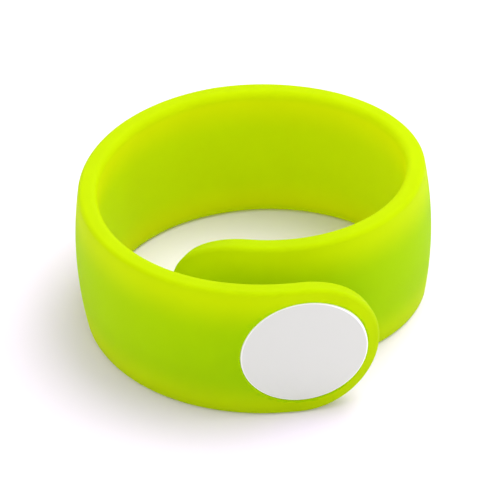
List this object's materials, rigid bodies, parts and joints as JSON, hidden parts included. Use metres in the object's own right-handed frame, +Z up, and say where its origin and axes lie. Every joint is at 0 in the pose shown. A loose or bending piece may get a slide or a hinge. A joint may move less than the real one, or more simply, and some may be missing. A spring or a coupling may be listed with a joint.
{
  "type": "adjustable silicone wristband",
  "caption": "Wide silicone wristband curled into an open, overlapping loop, with a round white badge on the outer end and a press button behind it for holes in the inner end.",
  "frame": {"origin": "middle of the bounding box, on the surface that the band stands on", "axes": "+Z up along the wearer's arm, +X along the longest side of the loop, badge facing -Y"},
  "size_m": [0.0692, 0.0666, 0.03],
  "materials": {
    "silicone": "moulded translucent lime green silicone, satin",
    "badge_plastic": "moulded white ABS, smooth semi-gloss",
    "stud_plastic": "moulded white acetal, smooth"
  },
  "bodies": {
    "band_back": {"strap_back": "silicone"},
    "head_arm": {"strap_head": "silicone", "badge_cap": "badge_plastic", "closure_stud": "stud_plastic"},
    "tail_arm": {"strap_tail": "silicone"}
  },
  "joints": [
    {"name": "head_flex", "type": "hinge", "parent": "band_back", "child": "head_arm", "pos_m": [-0.03167, -0.00638, 0], "axis": [0, 0, 1], "range_deg": [-40, 2.5], "stiffness_Nm_per_rad": 0.016},
    {"name": "loop_flex", "type": "hinge", "parent": "band_back", "child": "tail_arm", "pos_m": [0.00796, 0.03046, 0], "axis": [0, 0, 1], "range_deg": [-8, 90], "stiffness_Nm_per_rad": 0.016}
  ]
}
